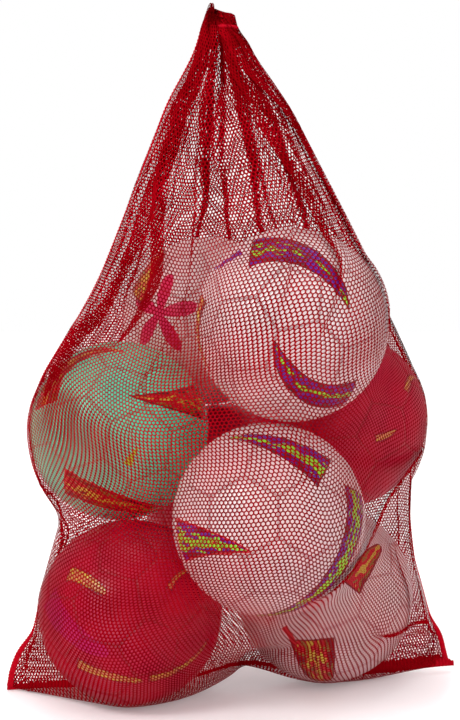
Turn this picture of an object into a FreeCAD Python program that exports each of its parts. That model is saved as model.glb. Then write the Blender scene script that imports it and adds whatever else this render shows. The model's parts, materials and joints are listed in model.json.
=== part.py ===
import FreeCAD, Part
import math
import os

# A drawstring sack of knitted net, standing on the floor with eight footballs inside and its mouth
# drawn shut. Millimetres, +Z up, -Y is the front. The origin is on the floor, under the middle of
# the sack. The net is modelled as a thin closed wall along its outer surface, cut where its sewn
# seams run. Every ball is a cover, a bladder and a valve.

# Driving dimensions, kept in the spreadsheet.
SIZES = {
    # Ball, size 5
    "ball_radius": 110.0,
    "cover_thickness": 3.0,
    "bladder_thickness": 0.8,
    "fit_gap": 0.1,
    # Valve, from the middle of the ball outwards
    "valve_radius": 3.0,
    "valve_length": 18.0,
    "valve_recess": 0.4,
    "flange_radius": 8.0,
    "flange_thickness": 1.6,
    "flange_depth": 6.6,
    "needle_radius": 0.8,
    # Net wall
    "net_thickness": 2.0,
    "ball_clearance": 2.5,
    "slack_ratio": 1.35,
    "foot_y": -15.0,
    "foot_height": 60.0,
    "foot_radius": 60.0,
    # Drawn mouth
    "mouth_x": -16.0,
    "mouth_y": 20.0,
    "mouth_radius": 10.0,
    "gather_radius": 28.0,
    "gather_height": 805.0,
    "bag_height": 833.0,
    # Sewn seams and the corners that lie out on the floor
    "seam_width": 8.0,
    "seam_slope": 0.14,
    "bag_width": 572.0,
    "corner_floor_reach": 229.0,
    "corner_floor_radius": 18.0,
    "corner_fade_reach": 143.0,
    "corner_fade_radius": 60.0,
    "corner_fade_height": 190.0,
    "corner_height": 130.0,
    "corner_knee_height": 48.0,
    "corner_knee_reach": 30.0,
    "corner_tip_height": 4.0,
    "corner_thickness": 4.0,
    "bottom_seam_reach": 190.0,
    # Hem and drawstring
    "hem_top_radius": 18.0,
    "cord_ring_radius": 18.0,
    "cord_height": 814.0,
    "cord_radius": 2.5,
    "cord_gap": 0.4,
}

# Middle of each ball when the sack stands at rest.
BALL_CENTRES = {
    "top_front_ball": (64.2, -148.3, 462.9),
    "left_ball": (-142.5, -3.1, 322.5),
    "centre_front_ball": (38.3, -164.5, 242.2),
    "lower_left_ball": (-125.8, -71.6, 112.6),
    "right_ball": (128.2, 21.6, 334.0),
    "lower_right_ball": (113.3, 22.4, 112.6),
    "top_back_ball": (-35.5, 144.5, 448.1),
    "back_ball": (-15.0, 164.5, 225.0),
}

SECTION_POINTS = 40    # points round each level section of the sack
SUPPORT_ANGLES = 90    # directions in which a section's outline is looked for
BODY_LEVELS = 26       # level sections from the floor to the shoulder
CONE_LEVELS = 5        # level sections from the shoulder to the mouth
MOUTH_ROUNDS = 20      # steps from a ball up to the mouth
FOOT_ROUNDS = 12       # steps from a ball down to the foot
FUSE_TOLERANCE = 0.01  # mm, for joining the corner flaps to the curved seams
VALVE_START = 20.0     # degrees round the upright for the first ball's valve
VALVE_TURN = 17.0      # degrees from one ball's valve to the next
VALVE_TILT = 65.0      # degrees from straight up to each valve


def make_sheet(doc):
    """The spreadsheet of driving dimensions, one alias to a row."""
    values = dict(SIZES)
    for ball, centre in BALL_CENTRES.items():
        for letter, value in zip("xyz", centre):
            values[f"{ball}_{letter}"] = value
    sheet = doc.addObject("Spreadsheet::Sheet", "Sizes")
    for row, (alias, value) in enumerate(values.items(), start=1):
        sheet.set(f"A{row}", alias)
        sheet.set(f"B{row}", str(value))
        sheet.setAlias(f"B{row}", alias)
    doc.recompute()
    return sheet


doc = FreeCAD.newDocument("mesh_ball_bag")
sheet = make_sheet(doc)


def size(alias):
    return float(getattr(sheet, alias))


def primitive(kind, name, expressions):
    """A Part primitive whose properties follow the spreadsheet."""
    solid = doc.addObject(kind, name)
    for path, expression in expressions.items():
        solid.setExpression(path, expression)
    return solid


def combine(kind, name, base, tool):
    """A boolean of two objects."""
    result = doc.addObject(kind, name)
    result.Base = base
    result.Tool = tool
    return result


# ---- Balls ------------------------------------------------------------------------------------

def place_in_ball(part, ball, index):
    """Moves a piece, made with its valve straight up at the origin, into its ball."""
    turn = math.radians(VALVE_START + VALVE_TURN * index)
    tilt = math.radians(VALVE_TILT)
    outward = FreeCAD.Vector(
        math.sin(tilt) * math.cos(turn), math.sin(tilt) * math.sin(turn), math.cos(tilt)
    )
    part.Placement.Rotation = FreeCAD.Rotation(FreeCAD.Vector(0, 0, 1), outward)
    for letter in "xyz":
        part.setExpression(f"Placement.Base.{letter}", f"Sizes.{ball}_{letter}")


def bored_ball_shell(name, outer, thickness):
    """A hollow ball with a hole for the valve at its top."""
    outside = primitive("Part::Sphere", f"{name}_outside", {"Radius": outer})
    inside = primitive("Part::Sphere", f"{name}_inside", {"Radius": f"{outer} - {thickness}"})
    bore = primitive(
        "Part::Cylinder",
        f"{name}_bore",
        {"Radius": "Sizes.valve_radius + Sizes.fit_gap", "Height": "2 * Sizes.ball_radius"},
    )
    hollow = combine("Part::Cut", f"{name}_hollow", outside, inside)
    return combine("Part::Cut", name, hollow, bore)


def ball_cover(ball):
    """The sewn cover."""
    return bored_ball_shell(f"{ball}_cover", "Sizes.ball_radius", "Sizes.cover_thickness")


def ball_bladder(ball):
    """The air bladder, just inside the cover."""
    outer = "(Sizes.ball_radius - Sizes.cover_thickness - Sizes.fit_gap)"
    return bored_ball_shell(f"{ball}_bladder", outer, "Sizes.bladder_thickness")


def ball_valve(ball):
    """The rubber valve: a stem through cover and bladder, a flange inside and a needle hole."""
    name = f"{ball}_valve"
    stem_base = "Sizes.ball_radius - Sizes.valve_recess - Sizes.valve_length"
    stem = primitive(
        "Part::Cylinder",
        f"{name}_stem",
        {
            "Radius": "Sizes.valve_radius",
            "Height": "Sizes.valve_length",
            "Placement.Base.z": stem_base,
        },
    )
    flange = primitive(
        "Part::Cylinder",
        f"{name}_flange",
        {
            "Radius": "Sizes.flange_radius",
            "Height": "Sizes.flange_thickness",
            "Placement.Base.z": "Sizes.ball_radius - Sizes.flange_depth",
        },
    )
    needle_hole = primitive(
        "Part::Cylinder",
        f"{name}_needle_hole",
        {"Radius": "Sizes.needle_radius", "Height": "2 * Sizes.ball_radius"},
    )
    solid = combine("Part::Fuse", f"{name}_solid", stem, flange)
    return combine("Part::Cut", name, solid, needle_hole)


def make_balls():
    parts = []
    for index, ball in enumerate(BALL_CENTRES):
        for make in (ball_cover, ball_bladder, ball_valve):
            part = make(ball)
            place_in_ball(part, ball, index)
            parts.append(part)
    return parts


# ---- Net sack ---------------------------------------------------------------------------------

def between(start, end, share):
    return start + (end - start) * share


def net_rounds():
    """The rounds that hold the net out, as (x, y, z, radius).

    Over each ball they run from the drawn mouth down to the ball, and from the ball
    down to the foot, so that the net is straight above a ball and slack below it.
    """
    mouth = (size("mouth_x"), size("mouth_y"), size("gather_height"), size("gather_radius"))
    foot = (0.0, size("foot_y"), size("foot_height"), size("foot_radius"))
    reach = size("ball_radius") + size("ball_clearance")
    rounds = []
    for centre in BALL_CENTRES.values():
        ball = (*centre, reach)
        for far_end, steps in ((mouth, MOUTH_ROUNDS), (foot, FOOT_ROUNDS)):
            for step in range(steps + 1):
                share = step / steps
                rounds.append(tuple(between(near, far, share) for near, far in zip(ball, far_end)))
    return rounds


def level_discs(rounds, height, gap):
    """The slices of the rounds at a height, each grown by gap, as (x, y, radius)."""
    slack = size("slack_ratio")
    discs = []
    for x, y, z, radius in rounds:
        reach = radius + gap
        drop = (height - z) / reach
        if height < z:
            drop /= slack
        if abs(drop) < 1:
            discs.append((x, y, reach * math.sqrt(1 - drop**2)))
    return discs


def seam_y(x):
    """The line along which the two side seams and the bottom seam lie, seen from above."""
    return size("mouth_y") + size("seam_slope") * (x - size("mouth_x"))


def corner_discs(height, gap):
    """What the two bottom corners hold the net out to, near the floor."""
    share = height / size("corner_fade_height")
    if share > 1:
        return []
    reach = between(size("corner_floor_reach"), size("corner_fade_reach"), share)
    radius = between(size("corner_floor_radius"), size("corner_fade_radius"), share) + gap
    return [(x, seam_y(x), radius) for x in (-reach, reach)]


def level_section(rounds, height, gap):
    """The sack's outline at a height, as a closed curve stretched round all the discs."""
    discs = level_discs(rounds, height, gap) + corner_discs(height, gap)
    middle_x = size("mouth_x") * height / size("gather_height")
    middle_y = size("mouth_y") * height / size("gather_height")
    supports = []
    for step in range(SUPPORT_ANGLES):
        angle = 2 * math.pi * step / SUPPORT_ANGLES
        support = max(
            (x - middle_x) * math.cos(angle) + (y - middle_y) * math.sin(angle) + radius
            for x, y, radius in discs
        )
        supports.append((angle, support))
    points = []
    for step in range(SECTION_POINTS):
        direction = 2 * math.pi * step / SECTION_POINTS
        reach = min(
            support / math.cos(angle - direction)
            for angle, support in supports
            if math.cos(angle - direction) > 0.1
        )
        points.append(
            FreeCAD.Vector(
                middle_x + reach * math.cos(direction),
                middle_y + reach * math.sin(direction),
                height,
            )
        )
    outline = Part.BSplineCurve()
    outline.interpolate(
        Points=points, PeriodicFlag=True, Parameters=[float(i) for i in range(len(points) + 1)]
    )
    return Part.Wire(outline.toShape())


def sack_solid(gap):
    """The solid inside a surface that stands gap outside of the net's inner face."""
    shoulder = max(z for x, y, z in BALL_CENTRES.values()) + size("ball_radius")
    top = size("gather_height")
    heights = [shoulder * step / BODY_LEVELS for step in range(BODY_LEVELS)]
    heights += [between(shoulder, top, step / CONE_LEVELS) for step in range(CONE_LEVELS + 1)]
    rounds = net_rounds()
    return Part.makeLoft([level_section(rounds, height, gap) for height in heights], True, True)


def seam_slab(start, end):
    """A tall block along the seam line, from one distance behind that line to another."""
    length = 2 * size("bag_width")
    slab = Part.makeBox(length, end - start, size("bag_height"))
    slab.translate(FreeCAD.Vector(-length / 2, start, 0))
    slope = math.degrees(math.atan(size("seam_slope")))
    slab.rotate(FreeCAD.Vector(0, 0, 0), FreeCAD.Vector(0, 0, 1), slope)
    slab.translate(FreeCAD.Vector(size("mouth_x"), size("mouth_y"), 0))
    return slab


def seam_block(start_x, end_x, low, high):
    """The part of space along the seam from one x to another, between two heights."""
    block = Part.makeBox(end_x - start_x, 2 * size("bag_width"), high - low)
    block.translate(FreeCAD.Vector(start_x, -size("bag_width"), low))
    return block


def corner_flap(side):
    """The pinched corner: a thin upright flap from the sack's side out to a tip on the floor.

    side is -1 for the left corner and 1 for the right one.
    """
    tip = size("bag_width") / 2
    outline = [
        (tip, 0.0),
        (tip, size("corner_tip_height")),
        (tip - size("corner_knee_reach"), size("corner_knee_height")),
        (size("corner_floor_reach"), size("corner_height")),
        (size("corner_fade_reach"), size("corner_height")),
        (size("corner_fade_reach"), 0.0),
    ]
    points = [FreeCAD.Vector(side * x, seam_y(side * x), z) for x, z in outline]
    face = Part.Face(Part.makePolygon(points + points[:1]))
    sideways = FreeCAD.Vector(-size("seam_slope"), 1, 0).normalize()
    flap = face.extrude(sideways * size("corner_thickness"))
    flap.translate(sideways * (-size("corner_thickness") / 2))
    return flap


def feature(name, shape):
    part = doc.addObject("Part::Feature", name)
    part.Shape = shape
    part.Placement = FreeCAD.Placement()
    return part


def make_sack():
    """The two net panels, the two side seams with their corners, and the bottom seam."""
    wall = size("net_thickness")
    far = size("bag_width")
    half_seam = size("seam_width") / 2
    base = seam_block(-far, far, -wall, wall)
    inside = sack_solid(0.0).cut(base)
    outside = sack_solid(wall)
    net = outside.cut(inside)
    seam_strip = net.common(seam_slab(-half_seam, half_seam))
    bottom = seam_block(
        -size("bottom_seam_reach"), size("bottom_seam_reach"), 0.0, size("corner_tip_height")
    )
    left = seam_block(-far, size("mouth_x"), 0.0, size("bag_height"))
    right = seam_block(size("mouth_x"), far, 0.0, size("bag_height"))
    parts = [
        feature("front_net_panel", net.common(seam_slab(-far, -half_seam))),
        feature("back_net_panel", net.common(seam_slab(half_seam, far))),
        feature("bottom_seam", seam_strip.common(bottom)),
    ]
    sides = seam_strip.cut(bottom)
    for name, block, side in (("left_side_seam", left, -1), ("right_side_seam", right, 1)):
        flap = corner_flap(side).cut(outside)
        seam = sides.common(block).fuse([flap], FUSE_TOLERANCE)
        parts.append(feature(name, seam.removeSplitter()))
    return parts


# ---- Hem and drawstring -----------------------------------------------------------------------

def make_hem():
    """The drawn-up hem: a soft cap on top of the gathers, with a channel for the drawstring."""
    above_mouth = {"Placement.Base.x": "Sizes.mouth_x", "Placement.Base.y": "Sizes.mouth_y"}
    on_gathers = {
        **above_mouth,
        "Height": "Sizes.bag_height - Sizes.gather_height",
        "Placement.Base.z": "Sizes.gather_height",
    }
    at_cord = {**above_mouth, "Placement.Base.z": "Sizes.cord_height"}
    ring_radius = "Sizes.cord_ring_radius"
    cap = primitive(
        "Part::Cone",
        "hem_cap",
        {
            "Radius1": "Sizes.gather_radius + Sizes.net_thickness",
            "Radius2": "Sizes.hem_top_radius",
            **on_gathers,
        },
    )
    mouth = primitive("Part::Cylinder", "hem_mouth", {"Radius": "Sizes.mouth_radius", **on_gathers})
    channel = primitive(
        "Part::Torus",
        "hem_channel",
        {"Radius1": ring_radius, "Radius2": "Sizes.cord_radius + Sizes.cord_gap", **at_cord},
    )
    cord = primitive(
        "Part::Torus",
        "drawstring",
        {"Radius1": ring_radius, "Radius2": "Sizes.cord_radius", **at_cord},
    )
    ring = combine("Part::Cut", "hem_ring", cap, mouth)
    return [combine("Part::Cut", "drawstring_hem", ring, channel), cord]


parts = make_balls() + make_sack() + make_hem()
doc.recompute()

faults = [thing.Name for thing in doc.Objects if {"Invalid", "Error"} & set(thing.State)]
faults += [part.Label for part in parts if part.Shape.isNull() or not part.Shape.isValid()]
if faults:
    raise RuntimeError(f"these objects failed: {faults}")

os.makedirs("parts", exist_ok=True)
for part in parts:
    part.Shape.exportStep(f"parts/{part.Label}.step")
    box = part.Shape.BoundBox
    print(
        f"{part.Label}: {len(part.Shape.Solids)} solids, {part.Shape.Volume / 1000:.1f} cm3, "
        f"x {box.XMin:.1f} {box.XMax:.1f}, y {box.YMin:.1f} {box.YMax:.1f}, "
        f"z {box.ZMin:.1f} {box.ZMax:.1f}"
    )
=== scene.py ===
import json
import math

import bpy
import numpy as np
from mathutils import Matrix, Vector

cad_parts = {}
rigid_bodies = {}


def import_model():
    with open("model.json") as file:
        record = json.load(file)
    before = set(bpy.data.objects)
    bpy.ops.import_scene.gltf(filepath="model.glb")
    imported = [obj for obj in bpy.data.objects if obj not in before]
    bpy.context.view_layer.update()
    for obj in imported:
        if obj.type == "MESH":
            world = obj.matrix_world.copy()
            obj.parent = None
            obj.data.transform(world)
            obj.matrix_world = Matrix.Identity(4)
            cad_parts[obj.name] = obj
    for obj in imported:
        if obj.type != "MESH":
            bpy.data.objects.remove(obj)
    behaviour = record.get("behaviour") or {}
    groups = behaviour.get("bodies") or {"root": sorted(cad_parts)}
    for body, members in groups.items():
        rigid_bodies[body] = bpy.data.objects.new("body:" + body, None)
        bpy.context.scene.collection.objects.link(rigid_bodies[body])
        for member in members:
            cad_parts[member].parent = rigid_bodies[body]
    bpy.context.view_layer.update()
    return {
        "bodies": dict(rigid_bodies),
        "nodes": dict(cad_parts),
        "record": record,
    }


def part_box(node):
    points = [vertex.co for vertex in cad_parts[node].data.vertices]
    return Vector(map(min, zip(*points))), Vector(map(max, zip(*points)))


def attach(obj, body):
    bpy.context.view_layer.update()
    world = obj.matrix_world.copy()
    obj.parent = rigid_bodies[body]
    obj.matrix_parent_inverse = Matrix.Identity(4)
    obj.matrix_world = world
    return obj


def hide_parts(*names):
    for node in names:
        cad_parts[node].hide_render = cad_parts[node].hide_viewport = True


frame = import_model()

# ---- Camera, light and floor ----

SENSOR_HEIGHT = 24.0      # millimetres
FOCAL_LENGTH = 54.823333  # millimetres
CAMERA_PLACE = (-0.006, -2.0135, 0.592)
CAMERA_PITCH = math.radians(5.18)
FLOOR_HALF = 6.0


def make_camera():
    data = bpy.data.cameras.new("camera")
    data.sensor_fit = "VERTICAL"
    data.sensor_height = SENSOR_HEIGHT
    data.lens = FOCAL_LENGTH
    data.clip_start = 0.05
    data.clip_end = 30.0
    camera = bpy.data.objects.new("camera", data)
    camera.location = CAMERA_PLACE
    camera.rotation_euler = (math.pi / 2 - CAMERA_PITCH, 0.0, 0.0)
    bpy.context.scene.collection.objects.link(camera)
    bpy.context.scene.camera = camera


def make_area_light(name, place, target, width, power):
    data = bpy.data.lights.new(name, "AREA")
    data.shape = "SQUARE"
    data.size = width
    data.energy = power
    light = bpy.data.objects.new(name, data)
    light.location = place
    aim = Vector(target) - Vector(place)
    light.rotation_euler = aim.to_track_quat("-Z", "Y").to_euler()
    bpy.context.scene.collection.objects.link(light)


def make_studio():
    world = bpy.data.worlds.new("studio")
    world.use_nodes = True
    background = world.node_tree.nodes["Background"]
    background.inputs["Color"].default_value = (1.0, 1.0, 1.0, 1.0)
    background.inputs["Strength"].default_value = 1.0
    bpy.context.scene.world = world
    bpy.context.scene.view_settings.view_transform = "Standard"
    middle = (0.0, 0.0, 0.4)
    make_area_light("key_light", (-1.6, -1.8, 1.9), middle, 0.9, 42.0)
    make_area_light("fill_light", (1.9, -1.5, 1.2), middle, 1.4, 12.0)
    make_area_light("top_light", (0.1, 0.2, 2.3), middle, 1.4, 14.0)


def make_floor():
    material = bpy.data.materials.new("studio_floor")
    material.use_nodes = True
    shader = material.node_tree.nodes["Principled BSDF"]
    shader.inputs["Base Color"].default_value = (0.99, 0.955, 0.962, 1.0)
    shader.inputs["Roughness"].default_value = 0.35
    shader.inputs["Emission Color"].default_value = (1.0, 0.94, 0.955, 1.0)
    shader.inputs["Emission Strength"].default_value = 0.17
    mesh = bpy.data.meshes.new("floor")
    corners = [(x * FLOOR_HALF, y * FLOOR_HALF, 0.0) for x, y in ((-1, -1), (1, -1), (1, 1), (-1, 1))]
    mesh.from_pydata(corners, [], [(0, 1, 2, 3)])
    mesh.materials.append(material)
    floor = bpy.data.objects.new("floor", mesh)
    bpy.context.scene.collection.objects.link(floor)


make_camera()
make_studio()
make_floor()

# ---- Where the CAD parts are ----

BALL_NAMES = [name for name in frame["bodies"] if name != "bag"]
BALL_RADIUS = 0.110
SEAM_SLOPE = 0.14         # how far back the side seams' plane runs for each metre to the right
SEAM_END = 0.004          # from a corner's tip to the end of the sewn edge


def centre_of(node):
    low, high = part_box(node)
    return (np.array(low) + np.array(high)) / 2


BALL_CENTRES = {name: centre_of(f"{name}_cover") for name in BALL_NAMES}
HEM_LOW, HEM_HIGH = (np.array(corner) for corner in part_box("drawstring_hem"))
MOUTH = np.array([(HEM_LOW[0] + HEM_HIGH[0]) / 2, (HEM_LOW[1] + HEM_HIGH[1]) / 2, HEM_LOW[2]])
GATHER_RADIUS = (HEM_HIGH[0] - HEM_LOW[0]) / 2
CORNER_REACH = (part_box("right_side_seam")[1][0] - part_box("left_side_seam")[0][0]) / 2 - SEAM_END


def seam_y(x):
    """Where the plane of the side seams is at this x."""
    return MOUTH[1] + SEAM_SLOPE * (x - MOUTH[0])


def smooth_step(x):
    """Grows softly from 0 to 1 as x does, and stays there beyond."""
    x = np.clip(x, 0.0, 1.0)
    return x * x * (3 - 2 * x)


# ---- The surface that the net lies on ----

NET_GAP = 0.0012          # from a ball's skin to the middle of the net's strands
SLACK_RATIO = 1.20        # how many radii below its middle a ball still holds the net out
LOW_SLACK_RATIO = 1.03    # the same for these balls, two on the floor and one in front above them
LOW_BALLS = ("lower_left_ball", "lower_right_ball", "centre_front_ball")
# How far in the net is drawn between the balls and the mouth: share, height where that starts
# and height over which it grows, for the left side and for the right.
HOLLOW_LEFT = (0.090, 0.370, 0.16)
HOLLOW_RIGHT = (0.008, 0.420, 0.16)
NECK_INSET = 0.25         # share by which the sack is narrower under the gathers on its neck
NECK_LENGTH = 0.10        # how far below the mouth that starts
# Where the net is drawn in under the front, between the two balls on the floor: direction,
# spread of directions, share drawn in at the floor, and height where that ends.
TUCK_TURN = math.radians(298)
TUCK_SPREAD = math.radians(36)
TUCK_DEPTH = 0.92
TUCK_HEIGHT = 0.095
# The round near the floor that the net narrows to under the balls.
FOOT = np.array([0.0, -0.015, 0.060])
FOOT_RADIUS = 0.058
# Where the bottom edge stands off the floor: between the two lowest balls (middle, spread and
# height) and at the right corner (start, growth and height).
RAISED_MIDDLE = (0.015, 0.060, 0.020)
RAISED_CORNER = (0.150, 0.120, 0.008)
RAISED_TOP = 0.120        # the net higher up than this keeps its height
# The cleft down the front of the neck: direction, spread, share it goes in, how far below the mouth
# it starts, and the height over which it deepens.
CLEFT_TURN = math.radians(271)
CLEFT_SPREAD = 0.15
CLEFT_DEPTH = 0.40
CLEFT_LENGTH = 0.13
CLEFT_GROWTH = 0.09
FLOOR_LEVELS = [0.0014, 0.006, 0.012]  # heights of the lowest outlines, close together
LEVELS = 84               # outlines above those, up to the mouth
FIRST_LEVEL, LEVELS_END = 0.020, 0.006  # height of the first, and how far below the mouth the last is
ROUND_STEPS = 33          # rounds from a ball to the mouth, and to the foot
OUTLINE_ANGLES = 480      # points round an outline
SUPPORT_ANGLES = 300      # directions in which the reach of an outline's discs is taken
GRAZING = 0.05            # cosine under which a direction doesn't limit another's reach
BEYOND = 9.0              # metres; farther than any reach
SMOOTHING_PASSES = 12
HALF_COLUMNS = 240        # columns of the surface table from seam to seam
SURFACE_ROWS = 260        # rows of the surface table from the bottom seam to the mouth
# The pull of the drawn mouth lengthens the net's upper part: share, and where it starts and grows.
STRETCH, STRETCH_START, STRETCH_GROWTH = 0.30, 0.60, 0.30

# The bunched top above the gathers: height over the mouth, shift in x and radius.
BUNCH = [
    (0.000, -0.003, 0.0200), (0.006, -0.003, 0.0190), (0.012, -0.003, 0.0170), (0.017, -0.004, 0.0140),
    (0.021, -0.005, 0.0105), (0.024, -0.006, 0.0065), (0.025, -0.0065, 0.0035),
]

# The two sewn corners: height, how far out the left and right edges are (1 is the tip) and the
# radius of the round that holds the net out there.
CORNER_SHAPE = [
    (0.000, 1.00, 1.00, 0.003), (0.004, 0.99, 0.99, 0.003), (0.021, 0.985, 0.970, 0.005),
    (0.046, 0.950, 0.942, 0.008), (0.072, 0.880, 0.885, 0.012), (0.098, 0.865, 0.861, 0.018),
    (0.123, 0.840, 0.834, 0.024), (0.149, 0.780, 0.806, 0.030), (0.207, 0.660, 0.786, 0.040),
    (0.300, 0.500, 0.795, 0.050),
]


def net_rounds():
    """Centres, radii and slack ratios of the rounds that hold the net out.

    They reach from the mouth over each ball to the foot.
    """
    rounds = []
    for name, centre in BALL_CENTRES.items():
        slack = LOW_SLACK_RATIO if name in LOW_BALLS else SLACK_RATIO
        ball = np.array([*centre, BALL_RADIUS + NET_GAP, slack])
        for far_end in (np.array([*MOUTH, GATHER_RADIUS, slack]), np.array([*FOOT, FOOT_RADIUS, slack])):
            for share in np.linspace(0.0, 1.0, ROUND_STEPS):
                rounds.append(ball + (far_end - ball) * share)
    return np.array(rounds)


def corner_discs(height):
    """The sewn corners, which reach out along the floor and fade into the sack's sides."""
    if height > CORNER_SHAPE[-1][0]:
        return np.empty((0, 3))
    heights, left, right, radii = np.array(CORNER_SHAPE).T
    radius = np.interp(height, heights, radii)
    discs = []
    for side, edges in ((-1, left), (1, right)):
        x = side * (np.interp(height, heights, edges) * CORNER_REACH - radius)
        discs.append((x, seam_y(x), radius))
    return np.array(discs)


def raised(x, z):
    """How far the net stands off where it would lie with its whole bottom edge on the floor."""
    middle, spread, height = RAISED_MIDDLE
    start, growth, corner_height = RAISED_CORNER
    edge = height * np.exp(-(((x - middle) / spread) ** 2))
    edge += corner_height * smooth_step((x - start) / growth)
    return edge * (1 - smooth_step(z / RAISED_TOP))


def outline_directions():
    """Directions of a level outline's points, from the left seam over the front and back again."""
    return np.pi + math.atan(SEAM_SLOPE) + np.linspace(0.0, 2 * np.pi, OUTLINE_ANGLES + 1)


def cleft(directions):
    """How much of the cleft's depth each direction has."""
    return np.exp(-(((directions - CLEFT_TURN) / CLEFT_SPREAD) ** 2))


def level_outline(rounds, height):
    """The outline of the sack at one height, stretched round all that holds it out there."""
    drop = (height - rounds[:, 2]) / rounds[:, 3]
    drop = np.where(drop < 0, drop / rounds[:, 4], drop)
    inside = np.abs(drop) < 1
    held = rounds[inside]
    radius = held[:, 3] * np.sqrt(1 - drop[inside] ** 2)
    discs = np.vstack([np.column_stack([held[:, :2], radius]), corner_discs(height)])
    middle_x = MOUTH[0] * height / MOUTH[2]
    middle = np.array([middle_x, seam_y(middle_x)])
    angles = np.linspace(0.0, 2 * np.pi, SUPPORT_ANGLES, endpoint=False)
    normals = np.column_stack([np.cos(angles), np.sin(angles)])
    support = ((discs[:, :2] - middle) @ normals.T + discs[:, 2:3]).max(axis=0)
    directions = outline_directions()
    cosines = np.cos(angles[None, :] - directions[:, None])
    limits = support[None, :] / np.maximum(cosines, GRAZING)
    reach = np.where(cosines > GRAZING, limits, BEYOND).min(axis=1)
    leftward = 0.5 - 0.5 * np.cos(directions)
    for (depth, start, growth), side in ((HOLLOW_LEFT, leftward), (HOLLOW_RIGHT, 1 - leftward)):
        reach *= 1 - depth * side * smooth_step((height - start) / growth)
    reach *= 1 - NECK_INSET * smooth_step((height - MOUTH[2] + NECK_LENGTH) / NECK_LENGTH)
    deepened = smooth_step((height - MOUTH[2] + CLEFT_LENGTH) / CLEFT_GROWTH)
    reach *= 1 - CLEFT_DEPTH * deepened * cleft(directions)
    tuck = np.exp(-(((directions - TUCK_TURN) / TUCK_SPREAD) ** 2))
    reach *= 1 - TUCK_DEPTH * tuck * smooth_step(1 - height / TUCK_HEIGHT)
    x = middle[0] + reach * np.cos(directions)
    y = middle[1] + reach * np.sin(directions)
    return np.column_stack([x, y, np.full_like(x, height)])


def lobes(directions, three, five):
    """Soft lobes round a bunch, three and five of them, as shares of its radius."""
    return 1 + three * np.cos(3 * directions + 0.6) + five * np.cos(5 * directions + 2.0)


def bunch_outline(rise, shift, radius):
    """A level round the bunched top, with soft lobes."""
    directions = outline_directions()
    reach = radius * lobes(directions, 0.07, 0.05) * (1 - CLEFT_DEPTH * cleft(directions))
    x = MOUTH[0] + shift + reach * np.cos(directions)
    y = MOUTH[1] + reach * np.sin(directions)
    return np.column_stack([x, y, np.full_like(x, MOUTH[2] + rise)])


def by_length(points, shares):
    """Points at these shares of a line's length."""
    steps = np.linalg.norm(np.diff(points, axis=0), axis=1)
    along = np.concatenate([[0.0], np.cumsum(steps)]) / steps.sum()
    return np.column_stack([np.interp(shares, along, points[:, axis]) for axis in range(3)])


def both_halves(outline):
    """An outline evened out by length, first its front from seam to seam and then its back."""
    half = OUTLINE_ANGLES // 2
    shares = np.linspace(0.0, 1.0, HALF_COLUMNS + 1)
    front = by_length(outline[: half + 1], shares)
    back = by_length(outline[half:], shares)
    return np.vstack([front, back[1:]])


def sack_surface():
    """A table of points on the sack, rows from the bottom seam to the mouth.

    Columns go from the left seam over the front to the right seam, and on over the
    back to the left seam again.
    """
    rounds = net_rounds()
    heights = [*FLOOR_LEVELS, *np.linspace(FIRST_LEVEL, MOUTH[2] - LEVELS_END, LEVELS)]
    levels = [both_halves(level_outline(rounds, height)) for height in heights]
    levels += [both_halves(bunch_outline(*level)) for level in BUNCH]
    levels = np.array(levels)
    seam_x = np.linspace(-CORNER_REACH, CORNER_REACH, HALF_COLUMNS + 1)
    seam_x = np.concatenate([seam_x, seam_x[::-1][1:]])
    seam = np.column_stack([seam_x, seam_y(seam_x), np.full_like(seam_x, heights[0])])
    under = [seam + (levels[0] - seam) * share for share in np.linspace(0.0, 1.0, 8)[:-1]]
    columns = np.concatenate([under, levels])
    columns[:, :, 2] += raised(columns[:, :, 0], columns[:, :, 2])
    rows = np.linspace(0.0, 1.0, SURFACE_ROWS + 1)
    spacing = 1 + STRETCH * smooth_step((rows - STRETCH_START) / STRETCH_GROWTH)
    rows = np.cumsum(spacing) - spacing[0]
    rows /= rows[-1]
    return np.stack([by_length(columns[:, i], rows) for i in range(columns.shape[1])], axis=1)


def smooth_table(table, passes):
    """Evens the surface out, keeping it off the balls and the floor."""
    for _ in range(passes):
        across = (np.roll(table[:, :-1], 1, axis=1) + np.roll(table[:, :-1], -1, axis=1)) / 2
        across = np.concatenate([across, across[:, :1]], axis=1)
        upright = table.copy()
        upright[1:-1] = (table[:-2] + table[2:]) / 2
        mean = (across + upright) / 2
        table[1:-1] += 0.5 * (mean[1:-1] - table[1:-1])
        for centre in BALL_CENTRES.values():
            away = table - centre
            distance = np.linalg.norm(away, axis=2, keepdims=True)
            least = BALL_RADIUS + NET_GAP
            table = np.where(distance < least, centre + away / distance * least, table)
        table[:, :, 2] = np.maximum(table[:, :, 2], NET_GAP)
    return table


def table_normals(table):
    """Unit vectors that point out of the sack at each point of the table."""
    across = np.roll(table[:, :-1], -1, axis=1) - np.roll(table[:, :-1], 1, axis=1)
    across = np.concatenate([across, across[:, :1]], axis=1)
    upright = np.gradient(table, axis=0)
    normal = np.cross(across, upright)
    return normal / np.maximum(np.linalg.norm(normal, axis=2, keepdims=True), 1e-9)


def sample(table, column, row):
    """Values of a table that is periodic across, between its columns and rows."""
    columns = table.shape[1] - 1
    column = np.mod(column, columns)
    row = np.clip(row, 0.0, table.shape[0] - 1 - 1e-6)
    left = np.floor(column).astype(int)
    below = np.floor(row).astype(int)
    right_share = (column - left)[:, None]
    upper_share = (row - below)[:, None]
    right = (left + 1) % columns
    lower = table[below, left] * (1 - right_share) + table[below, right] * right_share
    upper = table[below + 1, left] * (1 - right_share) + table[below + 1, right] * right_share
    return lower * (1 - upper_share) + upper * upper_share


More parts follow.
